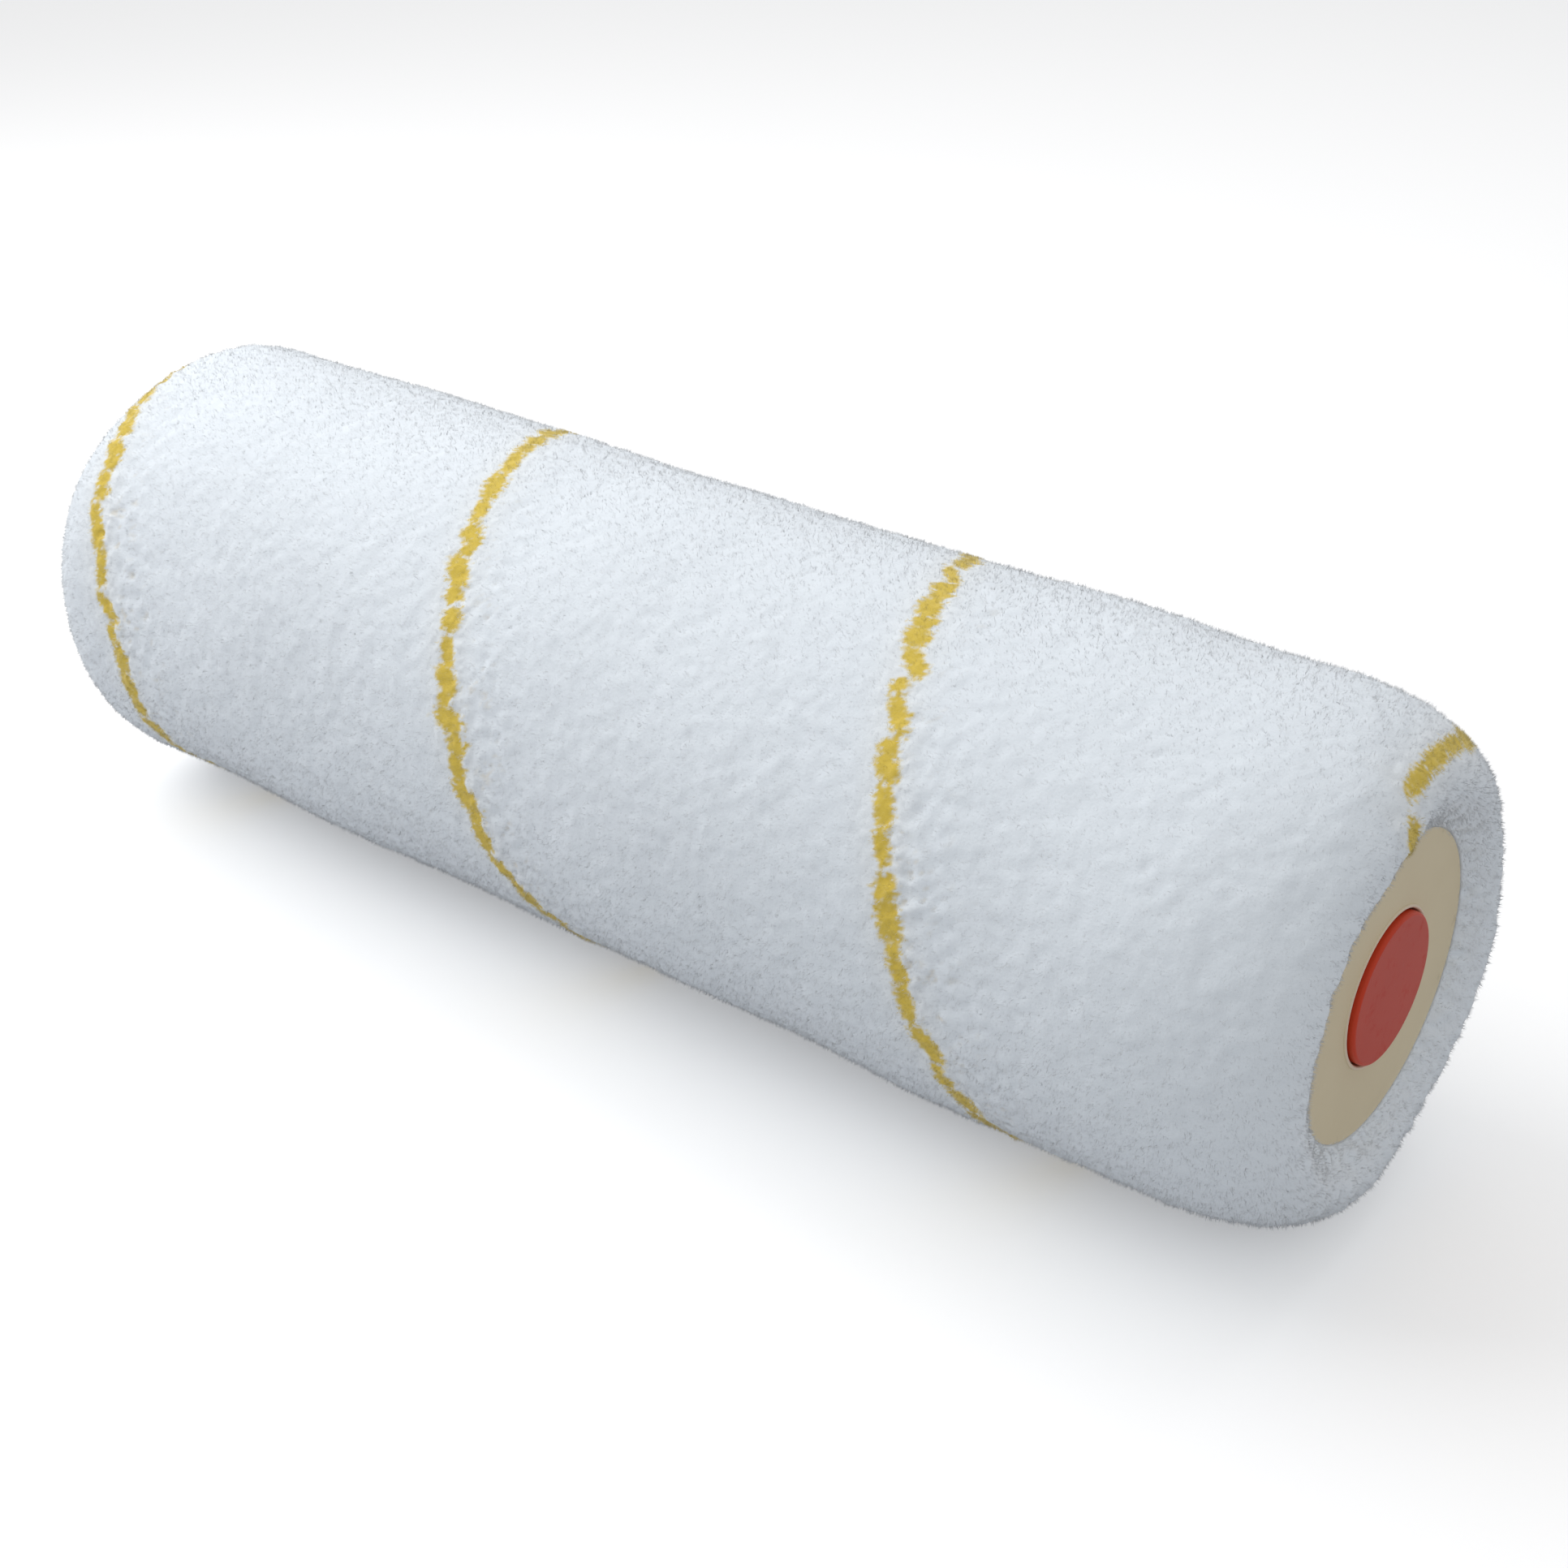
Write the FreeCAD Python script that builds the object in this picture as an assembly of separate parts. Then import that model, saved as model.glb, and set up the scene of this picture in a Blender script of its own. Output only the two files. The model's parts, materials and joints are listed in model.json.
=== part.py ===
"""Plush paint roller sleeve, closed at one end, that spins on a captive axle tube.

The sleeve lies along X with its centre at the origin and +Z up. The closed end with the
red plug is at +X, and the frame's wire enters at -X. All sizes are in millimetres.

Two bodies: the axle cartridge (tube, plug, entry collar, clip and washers) stands still on
the frame's wire, and everything else spins round it.
"""
import FreeCAD
import Part

import math
import os

# --- Overall sizes --------------------------------------------------------------------
SLEEVE_LENGTH = 250.0          # from end cap face to end cap face
CORE_DIAMETER = 48.0           # outside of the core tube and of the end caps' flanges
CORE_WALL = 1.6
BACKING_THICKNESS = 1.2        # woven base cloth wound on the core
NAP_HEIGHT = 15.8              # uncompressed, above the base cloth

# --- Nap at the ends ------------------------------------------------------------------
PILE_OVERHANG = 3.3            # how far the nap stands past the end cap's face
PILE_SHOULDER_RADIUS = 10.0    # round outer corner of the nap
PILE_LAP = 0.3                 # how far the nap's inner lip laps over the cap's rim

# --- Wire of the roller frame ---------------------------------------------------------
WIRE_DIAMETER = 8.0
WIRE_CLEARANCE = 0.1           # radial
ENTRY_FLARE = 2.2              # how much wider than the bore the funnel's mouth is, in radius

# --- Axle tube ------------------------------------------------------------------------
SPIGOT_WALL = 1.4              # of the entry collar's spigot, round the wire
AXLE_WALL = 1.5                # of the axle tube, round the socket that takes a spigot
SPIGOT_LENGTH = 12.0           # of the plug and of the entry collar, inside that socket

# --- Plug and entry collar ------------------------------------------------------------
HEAD_COVER = 0.4               # how far the head reaches past the washer, in radius
HEAD_THICKNESS = 2.35
HEAD_PROUD = 1.15              # how far the head stands out of the cap's face
HEAD_EDGE_RADIUS = 0.5

# --- Clip that grips the wire's end ---------------------------------------------------
CLIP_LENGTH = 10.0
CLIP_WALL = 0.5
CLIP_GRIP = 0.05               # how far the relaxed fingers reach inside the wire's surface
CLIP_BEAD_HALF_LENGTH = 1.6
CLIP_FINGERS = 4
CLIP_SLOT_WIDTH = 1.0
CLIP_COLLAR_LENGTH = 2.5       # unslotted ring that joins the fingers

# --- Bearing bush and thrust washer ---------------------------------------------------
RUNNING_CLEARANCE = 0.05       # radial, bush on axle tube
BUSH_WALL = 2.0
BUSH_LENGTH = 15.0
BUSH_FLANGE_THICKNESS = 1.0
BUSH_FLANGE_WIDTH = 2.1        # radial; the washer is as wide as the flange
WASHER_THICKNESS = 0.6
AXIAL_PLAY = 0.1               # at each end, between washer and bush

# --- End cap --------------------------------------------------------------------------
CAP_WALL = 2.0
HEAD_GAP = 0.3                 # radial, between the head and the recess round it
LIP_HALF_WIDTH = 0.3           # raised bead round the recess
CAP_SKIRT_LENGTH = 12.0
CAP_RIBS = 6
CAP_RIB_THICKNESS = 1.6
CAP_RIB_DEPTH = 10.0

# --- Fits within one body -------------------------------------------------------------
PUSH_GAP = 0.03                # radial, where one piece is pushed into another

# --- Places that follow from the sizes ------------------------------------------------
CAP_FACE_X = SLEEVE_LENGTH / 2
CORE_RADIUS = CORE_DIAMETER / 2
CORE_BORE_RADIUS = CORE_RADIUS - CORE_WALL
CORE_END_X = CAP_FACE_X - CAP_WALL
BACKING_RADIUS = CORE_RADIUS + BACKING_THICKNESS
PILE_RADIUS = BACKING_RADIUS + NAP_HEIGHT
PILE_END_X = CAP_FACE_X + PILE_OVERHANG
WIRE_BORE_RADIUS = WIRE_DIAMETER / 2 + WIRE_CLEARANCE
SOCKET_RADIUS = WIRE_BORE_RADIUS + SPIGOT_WALL
SPIGOT_RADIUS = SOCKET_RADIUS - PUSH_GAP
AXLE_RADIUS = SOCKET_RADIUS + AXLE_WALL
BUSH_BORE_RADIUS = AXLE_RADIUS + RUNNING_CLEARANCE
BUSH_RADIUS = BUSH_BORE_RADIUS + BUSH_WALL
FLANGE_RADIUS = BUSH_RADIUS + BUSH_FLANGE_WIDTH
HEAD_RADIUS = FLANGE_RADIUS + HEAD_COVER
RECESS_RADIUS = HEAD_RADIUS + HEAD_GAP
HUB_BORE_RADIUS = BUSH_RADIUS + PUSH_GAP
HUB_RADIUS = HUB_BORE_RADIUS + CAP_WALL
HEAD_OUTER_X = CAP_FACE_X + HEAD_PROUD
HEAD_INNER_X = HEAD_OUTER_X - HEAD_THICKNESS
AXLE_END_X = HEAD_INNER_X
SPIGOT_END_X = AXLE_END_X - SPIGOT_LENGTH
CLIP_SEAT_X = SPIGOT_END_X - CLIP_LENGTH
WASHER_INNER_X = HEAD_INNER_X - WASHER_THICKNESS
BUSH_OUTER_X = WASHER_INNER_X - AXIAL_PLAY
RECESS_FLOOR_X = BUSH_OUTER_X - BUSH_FLANGE_THICKNESS
BUSH_INNER_X = BUSH_OUTER_X - BUSH_LENGTH

X_AXIS = FreeCAD.Vector(1, 0, 0)
ORIGIN = FreeCAD.Vector(0, 0, 0)


class TurnedOutline:
    """Closed half section in the XZ plane, drawn point by point and turned about X."""

    def __init__(self, x, radius):
        self.start = FreeCAD.Vector(x, 0, radius)
        self.here = self.start
        self.edges = []

    def line_to(self, x, radius):
        """Add a straight run to (x, radius)."""
        there = FreeCAD.Vector(x, 0, radius)
        self.edges.append(Part.LineSegment(self.here, there).toShape())
        self.here = there

    def arc_to(self, x, radius, centre_x, centre_radius):
        """Add the shorter arc about the given centre to (x, radius)."""
        there = FreeCAD.Vector(x, 0, radius)
        centre = FreeCAD.Vector(centre_x, 0, centre_radius)
        outward = (self.here - centre) + (there - centre)
        middle = centre + outward.normalize() * (self.here - centre).Length
        self.edges.append(Part.Arc(self.here, middle, there).toShape())
        self.here = there

    def solid(self):
        """Close the outline and turn it into a solid."""
        self.line_to(self.start.x, self.start.z)
        face = Part.Face(Part.Wire(self.edges))
        return face.revolve(ORIGIN, X_AXIS, 360)


def ring(x_low, x_high, inner_radius, outer_radius):
    """Plain ring or tube about X."""
    outline = TurnedOutline(x_low, inner_radius)
    outline.line_to(x_high, inner_radius)
    outline.line_to(x_high, outer_radius)
    outline.line_to(x_low, outer_radius)
    return outline.solid()


def at_open_end(shape):
    """Copy of a closed-end piece, turned round to sit at the open end."""
    turned = shape.copy()
    turned.rotate(ORIGIN, FreeCAD.Vector(0, 0, 1), 180)
    return turned


def core_tube():
    """Rigid tube that carries the fabric, held between the two caps' flanges."""
    return ring(-CORE_END_X, CORE_END_X, CORE_BORE_RADIUS, CORE_RADIUS)


def backing_fabric():
    """Base cloth of the plush, wound edge to edge over the core and the caps' rims."""
    return ring(-CAP_FACE_X, CAP_FACE_X, CORE_RADIUS, BACKING_RADIUS)


def plush_pile():
    """Nap as one soft body, rounded over both ends and lapping over the caps' rims."""
    lip_radius = CORE_RADIUS - PILE_LAP
    lip_crest_radius = lip_radius + PILE_OVERHANG
    shoulder_x = PILE_END_X - PILE_SHOULDER_RADIUS
    shoulder_radius = PILE_RADIUS - PILE_SHOULDER_RADIUS
    outline = TurnedOutline(-CAP_FACE_X, BACKING_RADIUS)
    outline.line_to(CAP_FACE_X, BACKING_RADIUS)
    outline.line_to(CAP_FACE_X, lip_radius)
    outline.arc_to(PILE_END_X, lip_crest_radius, CAP_FACE_X, lip_crest_radius)
    outline.line_to(PILE_END_X, shoulder_radius)
    outline.arc_to(shoulder_x, PILE_RADIUS, shoulder_x, shoulder_radius)
    outline.line_to(-shoulder_x, PILE_RADIUS)
    outline.arc_to(-PILE_END_X, shoulder_radius, -shoulder_x, shoulder_radius)
    outline.line_to(-PILE_END_X, lip_crest_radius)
    outline.arc_to(-CAP_FACE_X, lip_radius, -CAP_FACE_X, lip_crest_radius)
    return outline.solid()


def cap_rib(index):
    """One radial web between the cap's hub and its skirt."""
    inner = HUB_RADIUS - CAP_WALL / 2
    outer = CORE_BORE_RADIUS - CAP_WALL / 2
    inner_x = CORE_END_X - CAP_RIB_DEPTH
    corner = FreeCAD.Vector(inner_x, -CAP_RIB_THICKNESS / 2, inner)
    rib = Part.makeBox(CAP_RIB_DEPTH + CAP_WALL / 2, CAP_RIB_THICKNESS, outer - inner, corner)
    rib.rotate(ORIGIN, X_AXIS, index * 360 / CAP_RIBS)
    return rib


def end_cap():
    """Moulded cap: flange, skirt inside the core, recess with a bead, hub and ribs."""
    skirt_radius = CORE_BORE_RADIUS - PUSH_GAP
    skirt_inner_radius = skirt_radius - CAP_WALL
    skirt_end_x = CORE_END_X - CAP_SKIRT_LENGTH
    cup_radius = RECESS_RADIUS + CAP_WALL
    floor_back_x = RECESS_FLOOR_X - CAP_WALL
    lip_radius = RECESS_RADIUS + LIP_HALF_WIDTH
    outline = TurnedOutline(BUSH_INNER_X, HUB_BORE_RADIUS)
    outline.line_to(RECESS_FLOOR_X, HUB_BORE_RADIUS)
    outline.line_to(RECESS_FLOOR_X, RECESS_RADIUS)
    outline.line_to(CAP_FACE_X, RECESS_RADIUS)
    outline.arc_to(CAP_FACE_X + LIP_HALF_WIDTH, lip_radius, CAP_FACE_X, lip_radius)
    outline.arc_to(CAP_FACE_X, lip_radius + LIP_HALF_WIDTH, CAP_FACE_X, lip_radius)
    outline.line_to(CAP_FACE_X, CORE_RADIUS)
    outline.line_to(CORE_END_X, CORE_RADIUS)
    outline.line_to(CORE_END_X, skirt_radius)
    outline.line_to(skirt_end_x, skirt_radius)
    outline.line_to(skirt_end_x, skirt_inner_radius)
    outline.line_to(CORE_END_X, skirt_inner_radius)
    outline.line_to(CORE_END_X, cup_radius)
    outline.line_to(floor_back_x, cup_radius)
    outline.line_to(floor_back_x, HUB_RADIUS)
    outline.line_to(BUSH_INNER_X, HUB_RADIUS)
    cap = outline.solid()
    for index in range(CAP_RIBS):
        cap = cap.fuse(cap_rib(index))
    recess = ring(RECESS_FLOOR_X, CAP_FACE_X, HUB_BORE_RADIUS, RECESS_RADIUS)
    return cap.cut(recess).removeSplitter()


def bearing_bush():
    """Flanged plain bearing pushed into the cap's hub, running on the axle tube."""
    outline = TurnedOutline(BUSH_INNER_X, BUSH_BORE_RADIUS)
    outline.line_to(BUSH_OUTER_X, BUSH_BORE_RADIUS)
    outline.line_to(BUSH_OUTER_X, FLANGE_RADIUS)
    outline.line_to(RECESS_FLOOR_X, FLANGE_RADIUS)
    outline.line_to(RECESS_FLOOR_X, BUSH_RADIUS)
    outline.line_to(BUSH_INNER_X, BUSH_RADIUS)
    return outline.solid()


def thrust_washer():
    """Thin washer between the head and the bush's flange, pushed on the axle tube."""
    return ring(WASHER_INNER_X, HEAD_INNER_X, AXLE_RADIUS + PUSH_GAP, FLANGE_RADIUS)


def axle_tube():
    """Inner tube that slides over the frame's wire, with a socket at each end."""
    outline = TurnedOutline(-AXLE_END_X, SOCKET_RADIUS)
    outline.line_to(-SPIGOT_END_X, SOCKET_RADIUS)
    outline.line_to(-SPIGOT_END_X, WIRE_BORE_RADIUS)
    outline.line_to(CLIP_SEAT_X, WIRE_BORE_RADIUS)
    outline.line_to(CLIP_SEAT_X, SOCKET_RADIUS)
    outline.line_to(AXLE_END_X, SOCKET_RADIUS)
    outline.line_to(AXLE_END_X, AXLE_RADIUS)
    outline.line_to(-AXLE_END_X, AXLE_RADIUS)
    return outline.solid()


def end_plug():
    """Closed plug: a flat round head with a softened edge, and a solid spigot."""
    edge_x = HEAD_OUTER_X - HEAD_EDGE_RADIUS
    edge_radius = HEAD_RADIUS - HEAD_EDGE_RADIUS
    outline = TurnedOutline(SPIGOT_END_X, 0)
    outline.line_to(SPIGOT_END_X, SPIGOT_RADIUS)
    outline.line_to(HEAD_INNER_X, SPIGOT_RADIUS)
    outline.line_to(HEAD_INNER_X, HEAD_RADIUS)
    outline.line_to(edge_x, HEAD_RADIUS)
    outline.arc_to(HEAD_OUTER_X, edge_radius, edge_x, edge_radius)
    outline.line_to(HEAD_OUTER_X, 0)
    return outline.solid()


def entry_collar():
    """Open twin of the plug: same head and spigot, with a funnel as deep as the head."""
    edge_x = HEAD_OUTER_X - HEAD_EDGE_RADIUS
    edge_radius = HEAD_RADIUS - HEAD_EDGE_RADIUS
    outline = TurnedOutline(SPIGOT_END_X, WIRE_BORE_RADIUS)
    outline.line_to(SPIGOT_END_X, SPIGOT_RADIUS)
    outline.line_to(HEAD_INNER_X, SPIGOT_RADIUS)
    outline.line_to(HEAD_INNER_X, HEAD_RADIUS)
    outline.line_to(edge_x, HEAD_RADIUS)
    outline.arc_to(HEAD_OUTER_X, edge_radius, edge_x, edge_radius)
    outline.line_to(HEAD_OUTER_X, WIRE_BORE_RADIUS + ENTRY_FLARE)
    outline.line_to(HEAD_INNER_X, WIRE_BORE_RADIUS)
    return at_open_end(outline.solid())


def wire_clip():
    """Spring ring whose slotted fingers carry a bead that grips the wire's end."""
    outer_radius = SOCKET_RADIUS - PUSH_GAP
    inner_radius = outer_radius - CLIP_WALL
    bead_radius = WIRE_DIAMETER / 2 - CLIP_GRIP
    finger_start_x = CLIP_SEAT_X + CLIP_COLLAR_LENGTH
    bead_x = (finger_start_x + SPIGOT_END_X) / 2
    outline = TurnedOutline(CLIP_SEAT_X, inner_radius)
    outline.line_to(bead_x - CLIP_BEAD_HALF_LENGTH, inner_radius)
    outline.line_to(bead_x, bead_radius)
    outline.line_to(bead_x + CLIP_BEAD_HALF_LENGTH, inner_radius)
    outline.line_to(SPIGOT_END_X, inner_radius)
    outline.line_to(SPIGOT_END_X, outer_radius)
    outline.line_to(CLIP_SEAT_X, outer_radius)
    clip = outline.solid()
    slot_length = SPIGOT_END_X - finger_start_x
    for index in range(CLIP_FINGERS):
        corner = FreeCAD.Vector(finger_start_x, -CLIP_SLOT_WIDTH / 2, 0)
        slot = Part.makeBox(slot_length, CLIP_SLOT_WIDTH, SOCKET_RADIUS, corner)
        slot.rotate(ORIGIN, X_AXIS, index * 360 / CLIP_FINGERS)
        clip = clip.cut(slot)
    return clip


def roller_nodes():
    """Every piece of the sleeve by its node's name."""
    cap = end_cap()
    bush = bearing_bush()
    washer = thrust_washer()
    return {
        "plush_pile": plush_pile(),
        "backing_fabric": backing_fabric(),
        "core_tube": core_tube(),
        "closed_end_cap": cap,
        "open_end_cap": at_open_end(cap),
        "closed_end_bush": bush,
        "open_end_bush": at_open_end(bush),
        "axle_tube": axle_tube(),
        "red_end_plug": end_plug(),
        "wire_entry_collar": entry_collar(),
        "wire_clip": wire_clip(),
        "closed_end_washer": washer,
        "open_end_washer": at_open_end(washer),
    }


def export_nodes():
    """Write one STEP file per piece and print its volume."""
    os.makedirs("parts", exist_ok=True)
    for name, shape in roller_nodes().items():
        solids = shape.Solids
        if len(solids) != 1 or not shape.isValid():
            raise ValueError(f"{name}: {len(solids)} solids, valid {shape.isValid()}")
        solids[0].exportStep(f"parts/{name}.step")
        size = math.dist(shape.BoundBox.getPoint(0), shape.BoundBox.getPoint(6))
        print(f"{name}: {solids[0].Volume:.0f} mm3, diagonal {size:.1f} mm")


export_nodes()
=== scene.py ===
"""Looks of the plush paint roller sleeve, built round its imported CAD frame.

The sleeve lies along X with its closed end, the one with the red plug, at +X, and +Z is up. Every
place comes from the frame. Lengths are in metres, and MM turns a size in millimetres into metres.

A place on the nap has two coordinates. "Along" is the distance over the nap's skin from its middle,
so it equals X on the straight part and runs on round the ends. "Turn" is the angle round the axis
in radians: 0 at the front, which is -Y, and a quarter turn at the top.
"""

import json
import logging
import math
from dataclasses import dataclass, field
from enum import Enum

import bpy
import numpy as np
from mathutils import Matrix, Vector


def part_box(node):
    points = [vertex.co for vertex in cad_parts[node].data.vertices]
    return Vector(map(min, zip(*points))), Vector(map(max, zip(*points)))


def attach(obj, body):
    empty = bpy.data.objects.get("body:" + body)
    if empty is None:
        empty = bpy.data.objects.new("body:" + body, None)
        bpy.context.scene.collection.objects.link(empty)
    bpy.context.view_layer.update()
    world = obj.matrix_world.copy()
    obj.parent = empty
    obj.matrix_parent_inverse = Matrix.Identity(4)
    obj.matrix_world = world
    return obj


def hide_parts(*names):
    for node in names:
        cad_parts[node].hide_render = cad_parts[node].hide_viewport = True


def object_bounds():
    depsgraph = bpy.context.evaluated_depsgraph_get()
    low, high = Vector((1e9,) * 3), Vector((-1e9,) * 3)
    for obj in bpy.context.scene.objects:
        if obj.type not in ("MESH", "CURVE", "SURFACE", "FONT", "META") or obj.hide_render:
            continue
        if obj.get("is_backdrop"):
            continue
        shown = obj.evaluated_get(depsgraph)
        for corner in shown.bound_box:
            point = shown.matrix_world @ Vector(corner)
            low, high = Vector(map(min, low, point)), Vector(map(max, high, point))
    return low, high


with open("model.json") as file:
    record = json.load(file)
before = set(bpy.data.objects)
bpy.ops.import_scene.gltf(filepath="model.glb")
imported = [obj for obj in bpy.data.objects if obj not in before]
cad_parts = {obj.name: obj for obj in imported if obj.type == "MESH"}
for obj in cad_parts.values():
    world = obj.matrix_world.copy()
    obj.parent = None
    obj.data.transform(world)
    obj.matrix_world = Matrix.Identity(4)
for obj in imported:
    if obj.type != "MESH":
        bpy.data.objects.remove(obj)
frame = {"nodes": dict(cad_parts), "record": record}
cad_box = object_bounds()

MM = 0.001
SLEEVE_BODY = "spinning_sleeve"
Array, Piece = np.ndarray, bpy.types.Object
Arrays, Pair = tuple[Array, ...], tuple[float, float]
Colour = tuple[float, float, float]
log = logging.getLogger("roller_sleeve")


# --- Shader graphs ---
class Value:
    """The output of a shader node, on which arithmetic adds Math nodes.

    Args:
        graph: The graph that the node belongs to.
        socket: The node's output socket.
    """

    def __init__(self, graph: "Graph", socket: bpy.types.NodeSocket) -> None:
        """Keeps the graph and the socket."""
        self.graph = graph
        self.socket = socket

    def _math(self, operation: str, left: "Value | float", right: "Value | float") -> "Value":
        """Adds a Math node for the two sides and gives its output."""
        return self.graph.node("ShaderNodeMath", {"operation": operation}, {0: left, 1: right})

    def __add__(self, other: "Value | float") -> "Value":
        """The sum."""
        return self._math("ADD", self, other)

    def __radd__(self, other: float) -> "Value":
        """The sum, with a number on the left."""
        return self._math("ADD", other, self)

    def __sub__(self, other: "Value | float") -> "Value":
        """The difference."""
        return self._math("SUBTRACT", self, other)

    def __rsub__(self, other: float) -> "Value":
        """The difference, with a number on the left."""
        return self._math("SUBTRACT", other, self)

    def __mul__(self, other: "Value | float") -> "Value":
        """The product."""
        return self._math("MULTIPLY", self, other)

    def __rmul__(self, other: float) -> "Value":
        """The product, with a number on the left."""
        return self._math("MULTIPLY", other, self)

    def step(self, low: float, high: float) -> "Value":
        """A smooth step from 0 at low to 1 at high."""
        settings = {"interpolation_type": "SMOOTHSTEP", "clamp": True}
        return self.graph.node("ShaderNodeMapRange", settings, {0: self, 1: low, 2: high})


class Graph:
    """One material's node graph, with a Principled shader at its end.

    Args:
        name: The material's name.
    """

    def __init__(self, name: str) -> None:
        """Makes the material with its shader and output."""
        self.material = bpy.data.materials.new(name)
        self.material.use_nodes = True
        self.tree = self.material.node_tree
        self.tree.nodes.clear()
        self.shader = self.tree.nodes.new("ShaderNodeBsdfPrincipled")
        end = self.tree.nodes.new("ShaderNodeOutputMaterial")
        self.tree.links.new(self.shader.outputs[0], end.inputs["Surface"])

    def node(self, kind: str, settings: dict, sockets: dict, output: int | str = 0) -> Value:
        """Adds one node.

        Args:
            kind: The node's type.
            settings: Its settings, which are set first.
            sockets: A number, a colour or a Value for each input, by its name or place.
            output: The output to give, by its name or place.

        Returns:
            The chosen output.
        """
        made = self.tree.nodes.new(kind)
        for name, value in settings.items():
            setattr(made, name, value)
        for key, value in sockets.items():
            self.feed(made.inputs[key], value)
        return Value(self, made.outputs[output])

    def feed(self, socket: bpy.types.NodeSocket, value: object) -> None:
        """Links a Value to the socket, or sets a plain number or colour on it."""
        if isinstance(value, Value):
            self.tree.links.new(value.socket, socket)
        elif isinstance(value, tuple) and len(socket.default_value) == len(value) + 1:
            socket.default_value = (*value, 1.0)
        else:
            socket.default_value = value

    def set(self, **sockets: object) -> None:
        """Feeds the Principled shader's inputs, named with _ for each space."""
        for name, value in sockets.items():
            self.feed(self.shader.inputs[name.replace("_", " ")], value)

    def place(self) -> Value:
        """The place on the object, in metres in the frame."""
        return self.node("ShaderNodeTexCoord", {}, {}, "Object")

    def radius(self) -> Value:
        """The distance from the sleeve's axis, in metres."""
        flat = {"operation": "MULTIPLY"}
        across = self.node("ShaderNodeVectorMath", flat, {0: self.place(), 1: (0.0, 1.0, 1.0)})
        return self.node("ShaderNodeVectorMath", {"operation": "LENGTH"}, {0: across}, "Value")

    def ring(self, radius: float, width: float) -> Value:
        """1 at a radius from the axis, fading to 0 at a width to either side."""
        place = self.radius()
        return place.step(radius - width, radius) * (1 - place.step(radius, radius + width))

    def noise(self, size: float, detail: float = 2.0, rough: float = 0.5) -> Value:
        """Cloudy noise from 0 to 1 whose blobs are about the given size."""
        sockets = {"Vector": self.place(), "Scale": 1 / size, "Detail": detail, "Roughness": rough}
        return self.node("ShaderNodeTexNoise", {"noise_dimensions": "3D"}, sockets, 0)

    def mix(self, share: Value, none: "Value | Colour", full: "Value | Colour") -> Value:
        """A colour between two others, by a share from 0 to 1."""
        return self.node("ShaderNodeMix", {"data_type": "RGBA"}, {0: share, 6: none, 7: full}, 2)

    def painted(self, name: str) -> Value:
        """A number that the mesh holds at each vertex."""
        return self.node("ShaderNodeAttribute", {"attribute_name": name}, {}, "Fac")

    def bump(self, height: Value, depth: float, strength: float = 1.0) -> Value:
        """A normal bent by a height from 0 to 1 that stands for a depth in metres."""
        sockets = {"Height": height, "Distance": depth, "Strength": strength}
        return self.node("ShaderNodeBump", {}, sockets)


# --- Finishes ---
@dataclass(frozen=True)
class Finish:
    """What every finish shares: a name, and a way to put it on a piece."""

    name: str

    def fill(self, graph: Graph) -> None:
        """Sets up the material's colour and surface, which each kind of finish does its own way."""
        raise NotImplementedError

    def material(self) -> bpy.types.Material:
        """A new material with this finish."""
        graph = Graph(self.name)
        self.fill(graph)
        return graph.material

    def dress(self, piece: Piece) -> None:
        """Puts the finish on all of a piece."""
        made = bpy.data.materials.get(self.name) or self.material()
        if not piece.material_slots:
            piece.data.materials.append(made)
        for slot in piece.material_slots:
            slot.material = made


@dataclass(frozen=True)
class PlushSkin(Finish):
    """The body of the nap: cool white, with painted shade in its hollows and creases, a warm tint by the
    marker yarn, and gold where the marker yarn stands.
    """

    white: Colour = (0.83, 0.885, 0.935)
    # colour of the painted shade in the hollows
    hollow: Colour = (0.74, 0.785, 0.83)
    # warm tint by the yarn, and colour of the warm painted shade in the creases
    warm_tint_and_shade: Colour = (0.80, 0.775, 0.70)
    gold: Colour = (0.74, 0.55, 0.09)

    def fill(self, graph: Graph) -> None:
        """Colour from the painted shade in hollows and creases, the warm tint and the yarn, over fine
        fibre-like grain.
        """
        patches = graph.noise(22 * MM, 2.0).step(0.3, 0.7)
        speck = graph.noise(1.1 * MM, 3.0, 0.65)
        # painted shade darkens the hollows, over random patches and specks of tone
        hollow_shade_and_tone = graph.painted("hollow") * 0.75 + (1 - patches) * 0.10 + speck.step(0.5, 0.8) * 0.15
        nap = graph.mix(hollow_shade_and_tone, self.white, self.hollow)
        # warm tint beside the marker line, and warm painted shade in the ruffled creases
        nap = graph.mix(graph.painted("warmth"), nap, self.warm_tint_and_shade)
        nap = graph.mix(graph.painted("yarn"), nap, self.gold)
        grain = graph.noise(0.55 * MM, 2.0, 0.6) * 0.5 + graph.noise(1.6 * MM, 2.0, 0.6) * 0.5
        graph.set(Base_Color=nap, Roughness=0.86 + 0.12 * speck)
        graph.set(Normal=graph.bump(grain, 0.22 * MM, 0.6))
        graph.set(Sheen_Weight=0.25, Sheen_Roughness=0.5, Specular_IOR_Level=0.15)


@dataclass(frozen=True)
class Fibre(Finish):
    """One shade of loose fibres: plain, because each fibre is too thin to hold a pattern."""

    colour: Colour = (0.86, 0.90, 0.94)
    roughness: float = 0.8

    def fill(self, graph: Graph) -> None:
        """One even colour with a little sheen."""
        graph.set(Base_Color=self.colour, Roughness=self.roughness, Specular_IOR_Level=0.2)
        graph.set(Sheen_Weight=0.2, Sheen_Roughness=0.5)


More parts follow.
